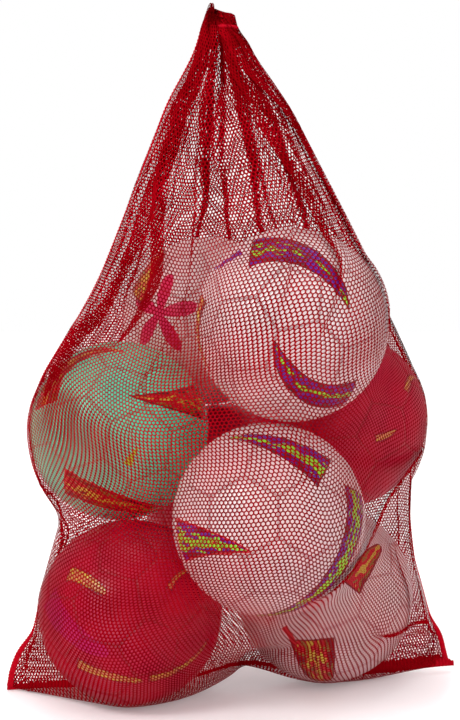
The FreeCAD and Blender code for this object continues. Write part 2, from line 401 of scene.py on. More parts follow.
TABLE = smooth_table(sack_surface(), SMOOTHING_PASSES)
NORMALS = table_normals(TABLE)
GIRTHS = np.linalg.norm(np.diff(TABLE, axis=1), axis=2).sum(axis=1)

# ---- How the flat net is gathered and folded ----

PANEL_WIDTH = 0.850       # metres of flat net from seam to seam
PANEL_HEIGHT = 1.020      # metres of flat net from the bottom seam to the hem
SACK_ROUND = 2 * PANEL_WIDTH

# Gathers that run down from the mouth: place (0 to 1 over the front, 1 to 2 over the back), how
# many times the net doubles back there, the share of height where the gather ends (below 0 it is
# still open at the bottom seam), and how much net each doubling takes beside the others.
GATHER_PLAN = [
    (0.045, 1, -0.50, 1.2), (0.118, 1, 0.42, 4.6), (0.165, 1, 0.70, 1.4), (0.226, 1, 0.60, 4.0),
    (0.280, 1, 0.80, 1.2), (0.330, 1, 0.50, 1.0), (0.364, 1, 0.76, 2.4), (0.415, 1, 0.74, 1.5),
    (0.455, 1, 0.80, 1.4), (0.500, 1, 0.60, 0.8), (0.562, 1, 0.62, 3.8), (0.604, 1, 0.80, 1.6),
    (0.685, 1, 0.60, 4.6), (0.748, 1, 0.78, 1.2), (0.812, 1, 0.54, 3.6), (0.885, 1, 0.64, 2.0),
    (0.958, 1, -0.50, 1.4),
    (1.042, 1, -0.50, 1.1), (1.140, 2, 0.50, 1.4), (1.250, 1, -0.50, 1.0), (1.330, 2, 0.55, 1.2),
    (1.430, 1, -0.50, 1.0), (1.520, 2, 0.55, 1.2), (1.620, 1, -0.50, 1.0), (1.720, 2, 0.55, 1.2),
    (1.830, 2, 0.50, 1.4), (1.960, 1, -0.50, 1.2),
]

# Single folds in the slack lower down: flat position of both ends (metres round, metres up),
# how much net each takes in, and how far from its middle line the net turns.
FOLDS = [
    (0.790, 0.398, 0.480, 0.318, 0.090, 0.018), (0.020, 0.356, 0.140, 0.314, 0.030, 0.008),
    (0.722, 0.280, 0.738, 0.110, 0.024, 0.007), (0.640, 0.172, 0.845, 0.074, 0.024, 0.007),
    (1.050, 0.400, 1.190, 0.300, 0.030, 0.008), (1.460, 0.250, 1.600, 0.330, 0.030, 0.008),
]
FOLD_REACH = 0.110        # a fold's net is drawn from about this far on both sides
FOLD_SHARPNESS = 1.2      # how sharply the net turns at the edge of a fold
FOLD_RISE = 0.03          # how far a fold stands up, beside the net that it takes in
FOLD_FADE = 0.2           # share of a fold's length over which each end fades

DOUBLING_TURN = 0.0020    # metres of net in the turn where a gather doubles back
GATHER_FADE = 0.16        # share of height over which a gather opens out
LAYER_GAP = 0.0020        # most room between two layers of a gather
LAYER_RISE = 0.11         # room between two layers, beside the net that they take in
GATHER_WEIGHT_SPREAD = (0.85, 1.15)  # each gather's weight is multiplied by a draw from this
GATHER_END_SPREAD = 0.04  # and its end moved by up to this
# As the sack narrows, the net's cells get narrower and its gathers take in the rest. Share of
# height, and how much of the narrowing the cells take: 1 is all of it, 0 none.
SQUEEZE = [(0.0, 1.00), (0.25, 0.50), (0.45, 0.12), (0.80, 0.10), (0.92, 0.35), (1.0, 0.60)]
LEAST_RATIO = 0.05        # the narrowing is reckoned down to this share of the flat net's width


def make_gathers():
    """Each gather's place round the flat sack in metres, doublings, lower end and weight."""
    random = np.random.default_rng(7)
    gathers = []
    for place, doublings, end, weight in GATHER_PLAN:
        end += random.uniform(-GATHER_END_SPREAD, GATHER_END_SPREAD)
        weight *= random.uniform(*GATHER_WEIGHT_SPREAD)
        gathers.append((place * PANEL_WIDTH, doublings, end, weight))
    return gathers


GATHERS = make_gathers()
DOUBLINGS = np.array([count for _, count, _, _ in GATHERS])
ON_FRONT = np.array([place < PANEL_WIDTH for place, _, _, _ in GATHERS])


def fold_flat(u, v):
    """Moves points of the flat net into its single folds; also says how far each rises."""
    rise = np.zeros_like(u)
    for u1, v1, u2, v2, amount, width in FOLDS:
        length = math.hypot(u2 - u1, v2 - v1)
        along_u, along_v = (u2 - u1) / length, (v2 - v1) / length
        share = ((u - u1) * along_u + (v - v1) * along_v) / length
        off = (v - v1) * along_u - (u - u1) * along_v
        fade = smooth_step(share / FOLD_FADE) * smooth_step((1 - share) / FOLD_FADE)
        near = np.tanh(FOLD_SHARPNESS * off / width)
        far = np.tanh(FOLD_SHARPNESS * off / FOLD_REACH)
        shift = 0.5 * amount * fade * (far - near)
        rise += FOLD_RISE * amount * fade * (1 + near) * np.exp(-((off / (3 * width)) ** 2))
        u = u - shift * along_v
        v = v + shift * along_u
    return u, v, rise


def wander(u, v):
    """Moves points of the flat net a little, so that its rows and columns run nowhere quite straight."""
    u = u + 0.004 * np.sin(11.0 * v + 4.3 * u) + 0.002 * np.sin(29.0 * v + 1.0)
    v = v + 0.006 * np.sin(2 * np.pi * 3 * u / SACK_ROUND + 0.8) * smooth_step(v / 0.1)
    return u, v


def sway(v, place):
    """How far a gather runs to one side of its place, at these heights of the flat net."""
    return 0.005 * np.sin(v * 19.0 + place * 40.0) + 0.002 * np.sin(v * 57.0 + place * 90.0)


def net_taken(height, rows):
    """How much net each doubling of each gather takes in, at these shares of height."""
    girth = np.interp(rows, np.arange(SURFACE_ROWS + 1), GIRTHS)
    ratio = np.clip(girth / SACK_ROUND, LEAST_RATIO, 1.0)
    squeeze = np.interp(height, *zip(*SQUEEZE))
    spare = SACK_ROUND - girth / ratio**squeeze
    weights = np.array([weight * smooth_step((height - end) / GATHER_FADE) for _, _, end, weight in GATHERS])
    taken = np.zeros_like(weights)
    for panel in (ON_FRONT, ~ON_FRONT):
        taken[panel] = spare / 2 * weights[panel] / (DOUBLINGS[panel] @ weights[panel])
    return taken


def gather_flat(u, v, rise):
    """Draws points of the flat net into the gathers.

    Gives the column and row of the surface table where each point lies, and how far it
    rises off the surface.
    """
    height = np.clip(v / PANEL_HEIGHT, 0.0, 1.0)
    rows = height * SURFACE_ROWS
    taken = net_taken(height, rows)
    gap = LAYER_GAP * (0.25 + 0.75 * smooth_step((height - 0.35) / 0.30))
    drawn = u.copy()
    for (place, count, _, _), amount in zip(GATHERS, taken):
        lean = sway(v, place)
        off = np.mod(u - place - lean + PANEL_WIDTH, SACK_ROUND) - PANEL_WIDTH
        turns = np.round((u - place - lean - off) / SACK_ROUND)
        back = amount / 2 + 1e-5
        turn = DOUBLING_TURN / back
        # Grows by 1 over the stretch of net that runs back at each doubling.
        folded = np.zeros_like(u)
        for i in range(count):
            share = (off - (i - (count - 1) / 2) * amount) / back + 0.5
            folded += 0.5 * (np.hypot(share, turn) - np.hypot(share - 1, turn) + 1)
        drawn -= amount * (count * turns + folded)
        # Past the last doubling the net comes back down to the sack.
        past = (off - (count - 1) / 2 * amount - 0.7 * amount) / (0.6 * amount + 0.001)
        rise = rise + 2 * np.minimum(LAYER_RISE * amount, gap) * folded * (1 - smooth_step(past))
    columns = drawn / (SACK_ROUND - DOUBLINGS @ taken) * (TABLE.shape[1] - 1)
    return columns, rows, rise


def place_net(u, v, lift):
    """Where points of the flat net lie in space; lift is how far they stand off its middle."""
    u, v, rise = fold_flat(u, v)
    u, v = wander(u, v)
    columns, rows, rise = gather_flat(u, v, rise)
    place = sample(TABLE, columns, rows)
    normal = sample(NORMALS, columns, rows)
    normal /= np.maximum(np.linalg.norm(normal, axis=1, keepdims=True), 1e-9)
    return place + normal * (rise + lift)[:, None]


# ---- The knitted net ----

NET_COLUMNS = 328         # cells round the sack, both panels
NET_ROWS = 240            # cells from the bottom seam to the hem
CELL_WIDTH = SACK_ROUND / NET_COLUMNS
CELL_HEIGHT = PANEL_HEIGHT / NET_ROWS
PILLAR_WIDTH = 0.0017     # the upright strand between two cells side by side
LINK_WIDTH = 0.0014       # the slanting strands
HOLE_SHARE = (0.48, 0.80)  # least and most of a cell's half width or height that its hole has
LINK_SLANT = 0.6          # share of a link's width that it takes off a hole's half height
SHOULDER = 0.48           # how high a hole's side corners are, beside its half height
NET_LIFT = 0.0003         # how far the strands stand off the sack's surface
NET_TIERS = ("lower", "middle", "upper")


def net_junctions(place, rows):
    """The places where strands meet, in rows: the top one and the right one of each cell."""
    row, column = np.meshgrid(np.arange(-1, rows), np.arange(NET_COLUMNS), indexing="ij")
    u = (column + 0.5 + 0.5 * (row % 2)) * CELL_WIDTH
    v = (row + 0.5) * CELL_HEIGHT
    lift = np.full(u.size, NET_LIFT)
    top = place(u.ravel(), (v + CELL_HEIGHT * 2 / 3).ravel(), lift)
    side = place((u + CELL_WIDTH / 2).ravel(), (v + CELL_HEIGHT / 3).ravel(), lift)
    return np.concatenate([top, side])


def cell_corners(rows):
    """The six junctions round each cell, clockwise from its top, as (rows, columns, 6) indices."""
    count = (rows + 1) * NET_COLUMNS
    top = np.arange(count).reshape(rows + 1, NET_COLUMNS)
    side = top + count
    row = np.arange(1, rows + 1)[:, None]
    column = np.arange(NET_COLUMNS)[None, :]
    below_right = (column + (row - 1) % 2) % NET_COLUMNS
    below_left = (below_right - 1) % NET_COLUMNS
    left = (column - 1) % NET_COLUMNS
    return np.stack([
        top[row, column], side[row, column], top[row - 1, below_right],
        side[row - 1, below_left], top[row - 1, below_left], side[row, left],
    ], axis=-1)


def cell_holes(ring):
    """The corners of each cell's hole, a hexagon that leaves the strands their width."""
    middle = ring.mean(axis=2)
    across = (ring[:, :, 1] + ring[:, :, 2] - ring[:, :, 4] - ring[:, :, 5]) / 4
    upright = (ring[:, :, 0] - ring[:, :, 3]) / 2
    area = np.linalg.norm(np.cross(across, upright), axis=-1)
    half_width = np.maximum(area / np.maximum(np.linalg.norm(upright, axis=-1), 1e-6), 1e-6)
    half_height = np.maximum(area / np.maximum(np.linalg.norm(across, axis=-1), 1e-6), 1e-6)
    across = across * np.clip(1 - PILLAR_WIDTH / 2 / half_width, *HOLE_SHARE)[..., None]
    upright = upright * np.clip(1 - LINK_WIDTH * LINK_SLANT / half_height, *HOLE_SHARE)[..., None]
    shape = [(0, 1), (1, SHOULDER), (1, -SHOULDER), (0, -1), (-1, -SHOULDER), (-1, SHOULDER)]
    return np.stack([middle + a * across + b * upright for a, b in shape], axis=2)


def mesh_piece(name, points, faces, material):
    """A smooth-shaded piece made of the points that its faces use.

    A face whose four corners name one point twice running becomes a triangle.
    """
    used, packed = np.unique(faces, return_inverse=True)
    packed = packed.reshape(faces.shape)
    corners = packed != np.roll(packed, 1, axis=1)
    sides = corners.sum(axis=1)
    loops = packed[corners]
    mesh = bpy.data.meshes.new(name)
    mesh.vertices.add(len(used))
    mesh.vertices.foreach_set("co", points[used].ravel().astype(np.float32))
    mesh.loops.add(len(loops))
    mesh.loops.foreach_set("vertex_index", loops.astype(np.int32))
    mesh.polygons.add(len(faces))
    mesh.polygons.foreach_set("loop_start", (np.cumsum(sides) - sides).astype(np.int32))
    mesh.polygons.foreach_set("loop_total", sides.astype(np.int32))
    mesh.update(calc_edges=True)
    mesh.shade_smooth()
    mesh.materials.append(material)
    piece = bpy.data.objects.new(name, mesh)
    bpy.context.scene.collection.objects.link(piece)
    return piece


def knit(place, rows):
    """Points of rows of knitted cells, and their strands' faces as (rows, columns, 6, 4) indices."""
    junctions = net_junctions(place, rows)
    corners = cell_corners(rows)
    holes = cell_holes(junctions[corners])
    points = np.concatenate([junctions, holes.reshape(-1, 3)])
    hole_index = len(junctions) + np.arange(holes.size // 3).reshape(holes.shape[:3])
    following = np.roll(np.arange(6), -1)
    outer, inner = corners[:, :, following], hole_index[:, :, following]
    return points, np.stack([hole_index, corners, outer, inner], axis=-1)


def make_net(material):
    """The two panels of net, each in three tiers."""
    points, faces = knit(place_net, NET_ROWS)
    tier_rows = NET_ROWS // len(NET_TIERS)
    half = NET_COLUMNS // 2
    for panel, columns in (("front", slice(0, half)), ("back", slice(half, None))):
        for index, tier in enumerate(NET_TIERS):
            rows = slice(index * tier_rows, (index + 1) * tier_rows)
            piece = mesh_piece(f"{panel}_net_{tier}", points, faces[rows, columns].reshape(-1, 4), material)
            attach(piece, "bag")
            if index == 0:
                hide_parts(f"{panel}_net_panel")


# ---- Seams and hem ----

SEAM_WIDTH = 0.005
SEAM_STEPS = 900          # places up a side seam
SEAM_LIFT = 0.0008        # of the band's edges over the middle of the net
SEAM_CROWN = 0.0012       # and of its middle over its edges
STITCH_PITCH = 0.0045
STITCH_HEIGHT = 0.0004
SEAM_TOP = 0.985          # share of the net's height where a side seam ends, under the hem
FLOOR_GAP = 0.0006        # least height of a seam over the floor
# Near the floor a side seam rolls up: where that ends and grows, how much higher and wider it gets.
ROLL_TOP, ROLL_GROWTH = 0.13, 0.08
ROLL_CROWN = 0.0034
ROLL_WIDENING = 1.8
# The bottom seam's half width and half thickness in the middle, and what is added near its left
# and its right end.
BOTTOM_WIDTH, BOTTOM_WIDER = 0.0030, (0.0022, 0.0050)
BOTTOM_THICK, BOTTOM_THICKER = 0.0018, (0.0014, 0.0052)
BOTTOM_STEPS, BOTTOM_AROUND = 700, 20
BOTTOM_PITCH = 0.0046     # of its stitches


def grid_faces(rows, columns):
    """Four-sided faces over a table of points, row by row."""
    index = np.arange(rows * columns).reshape(rows, columns)
    faces = np.stack([index[:-1, :-1], index[:-1, 1:], index[1:, 1:], index[1:, :-1]], axis=-1)
    return faces.reshape(-1, 4)


def make_side_seam(name, place, material, node):
    """The overlocked edges of both panels, sewn into one narrow ribbed band up the side."""
    along = np.linspace(SEAM_END, PANEL_HEIGHT * SEAM_TOP, SEAM_STEPS)
    across = np.linspace(-0.5, 0.5, 7)
    v, share = np.meshgrid(along, across, indexing="ij")
    rib = STITCH_HEIGHT * np.sin(2 * np.pi * v / STITCH_PITCH)
    rolled = smooth_step((ROLL_TOP - v) / ROLL_GROWTH)
    lift = SEAM_LIFT + (SEAM_CROWN + ROLL_CROWN * rolled) * (1 - (2 * share) ** 2) + rib
    width = SEAM_WIDTH * (1 + ROLL_WIDENING * rolled)
    points = place_net((place + share * width).ravel(), v.ravel(), lift.ravel())
    points[:, 2] = np.maximum(points[:, 2], FLOOR_GAP)
    piece = mesh_piece(name, points, grid_faces(*v.shape), material)
    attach(piece, "bag")
    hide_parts(node)


def make_bottom_seam(material):
    """The bottom edge: both panels' net folded over and sewn, a soft roll from corner to corner."""
    x = np.linspace(-CORNER_REACH, CORNER_REACH, BOTTOM_STEPS)
    out = np.abs(x) / CORNER_REACH
    fuller = smooth_step((out - 0.45) / 0.25) * smooth_step((1.02 - out) / 0.10)
    width = BOTTOM_WIDTH + np.where(x < 0, *BOTTOM_WIDER) * fuller
    thick = BOTTOM_THICK + np.where(x < 0, *BOTTOM_THICKER) * fuller
    angle = np.linspace(0.0, 2 * np.pi, BOTTOM_AROUND + 1)
    wave = 0.0020 * np.sin(x * 47.0) * smooth_step((out - 0.4) / 0.3)
    tilt = 0.5 + 0.25 * np.sin(x * 31.0)
    rib = 1 + 0.10 * np.sin(2 * np.pi * x / BOTTOM_PITCH)
    local_y = (width * rib)[:, None] * np.cos(angle)
    local_z = (thick * rib)[:, None] * np.sin(angle)
    cosine, sine = np.cos(tilt)[:, None], np.sin(tilt)[:, None]
    y = seam_y(x)[:, None] + wave[:, None] + local_y * cosine - local_z * sine
    z = local_y * sine + local_z * cosine
    z = z - z.min(axis=1, keepdims=True) + FLOOR_GAP + raised(x, 0.0)[:, None]
    points = np.stack([np.repeat(x[:, None], BOTTOM_AROUND + 1, axis=1), y, z], axis=-1).reshape(-1, 3)
    piece = mesh_piece("bottom_seam_roll", points, grid_faces(BOTTOM_STEPS, BOTTOM_AROUND + 1), material)
    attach(piece, "bag")
    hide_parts("bottom_seam")


HEM_ROWS = 9
HEM_HEIGHT = HEM_ROWS * CELL_HEIGHT
HEM_FOLDS = 62            # narrow folds round the bunch
HEM_FOOT = -0.014         # from the mouth down to the hem's lower edge
HEM_RISE = 0.035          # from there up to its upper edge, without the peaks
# Where the ruffle stands higher: height, direction and spread.
HEM_PEAKS = [(0.015, 1.34 * math.pi, 0.50), (0.006, 1.92 * math.pi, 0.45)]


def place_ruffle(u, v, lift):
    """The drawn hem: its net stands up out of the drawstring in a bunch of narrow folds."""
    turn = 2 * np.pi * u / SACK_ROUND + np.pi
    height = np.clip(v / HEM_HEIGHT, 0.0, 1.0)
    fold = np.sin(HEM_FOLDS * turn + 1.3 * np.sin(3 * turn))
    # The folds run between an inner and an outer radius, and both draw in towards the top.
    outer = 0.0240 - 0.0110 * height**2 * (0.6 - 0.4 * np.cos(turn))
    inner = 0.0080 - 0.0060 * height
    radius = inner + (outer - inner) * (0.5 + 0.5 * fold) + lift
    radius *= lobes(turn, 0.10, 0.06)
    peak = sum(top * np.exp(-(((turn - middle) / spread) ** 2)) for top, middle, spread in HEM_PEAKS)
    rise = HEM_FOOT + height * (HEM_RISE + peak + 0.003 * np.sin(HEM_FOLDS * turn + 2.0))
    x = MOUTH[0] - 0.003 - 0.005 * height + radius * np.cos(turn)
    y = MOUTH[1] + radius * np.sin(turn)
    return np.column_stack([x, y, MOUTH[2] + rise])


def make_hem(material):
    """The hem above the drawstring, knitted like the net and drawn into a bunch."""
    points, faces = knit(place_ruffle, HEM_ROWS)
    piece = mesh_piece("drawn_hem", points, faces.reshape(-1, 4), material)
    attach(piece, "bag")
    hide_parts("drawstring_hem")


# ---- Balls ----

GROOVE_DEPTH = 0.0014
GROOVE_WIDTH = 0.0016
PANEL_REACH = 0.038       # from a panel's middle to its edge
# Rings of points in a panel, from its middle to its edge, closer where the surface bends.
PANEL_RINGS = [0.0, 0.07, 0.11, 0.25, 0.42, 0.60, 0.76, 0.87, 0.93, 0.965, 1.0]
PANEL_STEPS = 8           # stretches along each side of a panel
VALVE_PANEL = 12          # the first hexagon
DIMPLE_SHARE = 0.09       # of the panel, round the valve
DIMPLE_DEPTH = 0.0009


def unit(v):
    v = np.asarray(v, dtype=float)
    return v / np.linalg.norm(v, axis=-1, keepdims=True)


def icosahedron():
    """The twelve corners and the twenty faces of an icosahedron in a unit sphere."""
    golden = (1 + math.sqrt(5)) / 2
    corners = []
    for a in (-1, 1):
        for b in (-golden, golden):
            corners += [(0, a, b), (a, b, 0), (b, 0, a)]
    corners = unit(corners)
    edge = np.linalg.norm(corners[:, None] - corners[None], axis=-1)
    near = np.abs(edge - edge[edge > 0.1].min()) < 1e-6
    faces = [
        (i, j, k)
        for i in range(12) for j in range(i + 1, 12) for k in range(j + 1, 12)
        if near[i, j] and near[j, k] and near[i, k]
    ]
    return corners, near, faces


def ordered(centre, points):
    """Points sorted by their turn round a centre, counter-clockwise from outside."""
    centre = unit(centre)
    side = unit(np.cross(centre, points[0]))
    front = np.cross(side, centre)
    turns = [math.atan2(point @ side, point @ front) for point in points]
    return [points[i] for i in np.argsort(turns)]


def ball_panels():
    """The 12 pentagons and 20 hexagons of a sewn ball, each as its middle and its corners."""
    corners, near, faces = icosahedron()
    panels = []
    for i in range(12):
        points = [unit(2 * corners[i] + corners[j]) for j in range(12) if near[i, j]]
        panels.append((corners[i], ordered(corners[i], points)))
    for face in faces:
        points = [unit(2 * corners[a] + corners[b]) for a in face for b in face if a != b]
        middle = unit(sum(corners[a] for a in face))
        panels.append((middle, ordered(middle, points)))
    return panels


def ball_mesh_points():
    """Points and faces of a ball of 32 panels, its first hexagon facing +Z with a valve dimple."""
    panels = ball_panels()
    points, faces = [], []
    for index, (middle, outline) in enumerate(panels):
        for start, end in zip(outline, outline[1:] + outline[:1]):
            rings, steps = np.meshgrid(PANEL_RINGS, np.linspace(0, 1, PANEL_STEPS + 1), indexing="ij")
            edge = start + (end - start) * steps[..., None]
            flat = middle * (1 - rings[..., None]) + edge * rings[..., None]
            to_edge = (1 - rings) * PANEL_REACH
            radius = BALL_RADIUS - GROOVE_DEPTH * np.exp(-((to_edge / GROOVE_WIDTH) ** 2))
            if index == VALVE_PANEL:
                radius = np.where(rings < DIMPLE_SHARE, BALL_RADIUS - DIMPLE_DEPTH, radius)
            base = len(points) * rings.size
            points.append((unit(flat) * radius[..., None]).reshape(-1, 3))
            faces.append(grid_faces(*rings.shape) + base)
    points = np.concatenate(points)
    faces = np.concatenate(faces)
    # Points that neighbouring panels share become one.
    _, first, merged = np.unique(np.round(points, 6), axis=0, return_index=True, return_inverse=True)
    faces = merged.ravel()[faces]
    middle = panels[VALVE_PANEL][0]
    turn = Vector(middle).rotation_difference(Vector((0, 0, 1))).to_matrix()
    return points[first] @ np.array(turn).T, faces


class Shader:
    """Builds the node tree of a procedural material."""

    def __init__(self, name):
        self.material = bpy.data.materials.new(name)
        self.material.use_nodes = True
        self.tree = self.material.node_tree
        self.surface = self.tree.nodes["Principled BSDF"]
        self.place = self.node("ShaderNodeTexCoord").outputs["Object"]

    def node(self, kind, **settings):
        node = self.tree.nodes.new(kind)
        for key, value in settings.items():
            setattr(node, key, value)
        return node

    def feed(self, socket, value):
        if isinstance(value, bpy.types.NodeSocket):
            self.tree.links.new(value, socket)
        else:
            socket.default_value = value

    def fed(self, kind, values, **settings):
        """The outputs of a new node whose inputs are fed these values in turn."""
        node = self.node(kind, **settings)
        for socket, value in zip(node.inputs, values):
            self.feed(socket, value)
        return node.outputs

    def math(self, operation, *values):
        return self.fed("ShaderNodeMath", values, operation=operation)["Value"]

    def dot(self, vector, axis):
        return self.fed("ShaderNodeVectorMath", (vector, tuple(axis)), operation="DOT_PRODUCT")["Value"]

    def unit(self, vector):
        return self.fed("ShaderNodeVectorMath", (vector,), operation="NORMALIZE")["Vector"]

    def length(self, vector):
        return self.fed("ShaderNodeVectorMath", (vector,), operation="LENGTH")["Value"]

    def combine(self, *values):
        return self.fed("ShaderNodeCombineXYZ", values)["Vector"]

    def noise(self, vector, scale, detail=2.0):
        node = self.node("ShaderNodeTexNoise")
        self.feed(node.inputs["Vector"], vector)
        node.inputs["Scale"].default_value = scale
        node.inputs["Detail"].default_value = detail
        return node.outputs["Fac"]

    def ramp(self, value, stops, interpolation="LINEAR"):
        node = self.node("ShaderNodeValToRGB")
        node.color_ramp.interpolation = interpolation
        while len(node.color_ramp.elements) < len(stops):
            node.color_ramp.elements.new(0.5)
        for element, (position, colour) in zip(node.color_ramp.elements, stops):
            element.position = position
            element.color = (*colour, 1.0)
        self.feed(node.inputs["Fac"], value)
        return node.outputs["Color"]

    def mix(self, share, first, second):
        node = self.node("ShaderNodeMix", data_type="RGBA")
        self.feed(node.inputs["Factor"], share)
        self.feed(node.inputs["A"], first)
        self.feed(node.inputs["B"], second)
        return node.outputs["Result"]

    def bump(self, height, distance, strength=1.0):
        node = self.node("ShaderNodeBump")
        node.inputs["Distance"].default_value = distance
        node.inputs["Strength"].default_value = strength
        self.feed(node.inputs["Height"], height)
        self.feed(self.surface.inputs["Normal"], node.outputs["Normal"])


def direction(azimuth, elevation):
    """A unit vector from degrees round +Z, from +X, and degrees up."""
    azimuth, elevation = math.radians(azimuth), math.radians(elevation)
    level = math.cos(elevation)
    return np.array([math.cos(azimuth) * level, math.sin(azimuth) * level, math.sin(elevation)])


BORDER = 0.0022           # width of a stripe's dark edge
RAGGED = 0.003            # how far a stripe's edge wanders
FLECK_LENGTH, FLECK_WIDTH = 0.020, 0.0065  # of the colours in a stripe


def add_stripe(shader, base, shape):
    """Lays a printed stripe that tapers from a blunt end to a tip over the base colour."""
    points = [direction(*place) for place in shape["path"]]
    axis = unit(np.cross(points[1] - points[0], points[2] - points[1]))
    polar = math.acos(float(axis @ points[0]))
    start = unit(points[0] - axis * (axis @ points[0]))
    side = np.cross(axis, start)
    span = math.atan2(float(points[2] @ side), float(points[2] @ start)) % (2 * math.pi)
    length = span * math.sin(polar) * BALL_RADIUS
    point = shader.unit(shader.place)
    turn = shader.math("ARCTAN2", shader.dot(point, side), shader.dot(point, start))
    share = shader.math("DIVIDE", turn, span)
    tilt = shader.math("SUBTRACT", shader.math("ARCCOSINE", shader.dot(point, axis)), polar)
    ragged = shader.math("MULTIPLY", shader.math("SUBTRACT", shader.noise(point, 9.0), 0.5), RAGGED)
    across = shader.math("ADD", shader.math("MULTIPLY", tilt, BALL_RADIUS), ragged)
    left = shader.math("MAXIMUM", shader.math("SUBTRACT", 1.0, share), 0.0)
    half = shader.math("MULTIPLY", shader.math("POWER", left, shape["taper"]), shape["width"] / 2)
    off = shader.math("ABSOLUTE", across)
    begun = shader.math("GREATER_THAN", share, 0.0)
    outer = shader.math("MULTIPLY", shader.math("LESS_THAN", off, half), begun)
    inner_begun = shader.math("GREATER_THAN", share, BORDER / length)
    narrow = shader.math("LESS_THAN", shader.math("ADD", off, BORDER), half)
    inner = shader.math("MULTIPLY", narrow, inner_begun)
    grain_along = shader.math("MULTIPLY", share, length / FLECK_LENGTH)
    grain_across = shader.math("MULTIPLY", across, 1 / FLECK_WIDTH)
    grain = shader.combine(grain_along, grain_across, shape["path"][0][0])
    mottle = shader.math("MULTIPLY", shader.noise(grain, 1.0, 1.0), 0.75)
    depth = shader.math("MULTIPLY", shader.math("DIVIDE", off, shader.math("MAXIMUM", half, 0.001)), 0.30)
    fill = shader.ramp(shader.math("ADD", mottle, depth), shape["fill"], "CONSTANT")
    base = shader.mix(outer, base, (*shape["edge"], 1.0))
    return shader.mix(inner, base, fill)


MAROON = (0.10, 0.001, 0.012)
PURPLE = (0.085, 0.003, 0.30)
LIME = (0.26, 0.80, 0.03)
SCARLET = (0.60, 0.006, 0.020)
YELLOW = (0.66, 0.62, 0.06)
OLIVE = (0.19, 0.20, 0.03)
TAN = (0.62, 0.27, 0.10)
WINE = (0.24, 0.002, 0.030)
MAGENTA = (0.50, 0.0, 0.14)
# What fills a stripe: where each colour starts in its fleck noise, which grows towards the edge.
VIOLET_FILL = [(0.0, MAROON), (0.29, LIME), (0.38, MAROON), (0.46, PURPLE), (0.60, MAROON)]
LIME_FILL = [(0.0, SCARLET), (0.24, LIME), (0.48, PURPLE), (0.62, MAROON)]
SCARLET_FILL = [(0.0, MAROON), (0.28, YELLOW), (0.42, SCARLET), (0.54, OLIVE), (0.62, MAROON)]
TAN_FILL = [(0.0, TAN), (0.50, YELLOW), (0.58, TAN)]

BALL_BASES = {
    # White leather; its pink cast is painted light, the red light bounced off the net mixed into the white.
    "white": (0.86, 0.80, 0.80),
    "mint": (0.060, 1.000, 0.640),
    "crimson": (0.520, 0.004, 0.055),
}


def plain(colour):
    return [(0.0, colour), (0.5, colour)]


def stripe(path, width, edge, fill, taper=0.7):
    return {"path": path, "width": width, "edge": edge, "fill": fill, "taper": taper}


# Printed stripes of each ball: degrees round +Z and degrees up for the blunt end, the middle and the
# tip, then width at the blunt end, colour of the edge, fill, and how the width tapers (0 not at all).
STRIPES = {
    "top_front_ball": [
        stripe([(-133, 50), (-88, 50), (-57, 12)], 0.052, MAROON, VIOLET_FILL),
        stripe([(-38, -41), (-80, -37), (-102, -5)], 0.046, MAROON, VIOLET_FILL, 0.6),
        stripe([(-163, 18), (-167, 0), (-158, -28)], 0.034, MAROON, SCARLET_FILL),
        stripe([(-145, 50), (-154, 43), (-172, 35)], 0.014, PURPLE, plain(PURPLE)),
        stripe([(40, 30), (80, 10), (120, 20)], 0.032, MAROON, VIOLET_FILL),
    ],
    "centre_front_ball": [
        stripe([(-47, 36), (-74, 56), (-154, 61)], 0.048, MAROON, LIME_FILL, 0.75),
        stripe([(-160, -9), (-128, -5), (-101, -8)], 0.052, SCARLET, LIME_FILL, 0.75),
        stripe([(-22, 22), (-38, -14), (-119, -68)], 0.046, MAROON, LIME_FILL, 0.6),
        stripe([(60, 20), (100, 0), (140, 15)], 0.032, MAROON, VIOLET_FILL),
    ],
    "left_ball": [
        stripe([(-146, 20), (-150, 46), (-75, 65)], 0.050, SCARLET, SCARLET_FILL, 0.8),
        stripe([(-6, 20), (-49, 25), (-80, 29)], 0.052, MAROON, SCARLET_FILL, 0.9),
        stripe([(-129, -28), (-95, -42), (-14, -57)], 0.044, SCARLET, SCARLET_FILL, 0.5),
        stripe([(-81, -14), (-78, -8), (-74, -3)], 0.011, LIME, plain(LIME)),
    ],
    "lower_right_ball": [
        stripe([(-77, 17), (-64, 29), (-39, 41)], 0.030, MAROON, SCARLET_FILL, 0.4),
        stripe([(-102, -17), (-100, -36), (-97, -66)], 0.056, MAROON, SCARLET_FILL, 0.35),
        stripe([(-120, -10), (-116, -16), (-112, -28)], 0.010, SCARLET, plain(SCARLET)),
    ],
    "top_back_ball": [
        stripe([(-152, 18), (-149, 38), (-172, 56)], 0.046, MAROON, SCARLET_FILL, 0.4),
        stripe([(60, 30), (100, 10), (140, 20)], 0.030, SCARLET, SCARLET_FILL),
    ],
    "lower_left_ball": [
        stripe([(-138, 33), (-118, 31), (-103, 24)], 0.020, WINE, TAN_FILL, 0.2),
        stripe([(-124, -21), (-102, -28), (-78, -33)], 0.017, WINE, TAN_FILL, 0.2),
        stripe([(-74, -31), (-51, -26), (-29, -10)], 0.013, WINE, TAN_FILL, 0.3),
        stripe([(-150, 16), (-126, 0), (-100, -12)], 0.034, MAGENTA, plain(MAGENTA), 0.3),
        stripe([(-60, 25), (-40, 35), (-20, 30)], 0.010, WINE, TAN_FILL, 0.4),
    ],
    "right_ball": [
        stripe([(-70, -6), (-62, -4), (-54, -1)], 0.012, WINE, TAN_FILL, 0.3),
        stripe([(-40, 22), (-25, 30), (-5, 25)], 0.012, WINE, TAN_FILL, 0.4),
        stripe([(30, 10), (60, 20), (90, 15)], 0.012, WINE, TAN_FILL, 0.4),
    ],
    "back_ball": [
        stripe([(50, 10), (80, 25), (110, 15)], 0.014, WINE, TAN_FILL, 0.4),
    ],
}
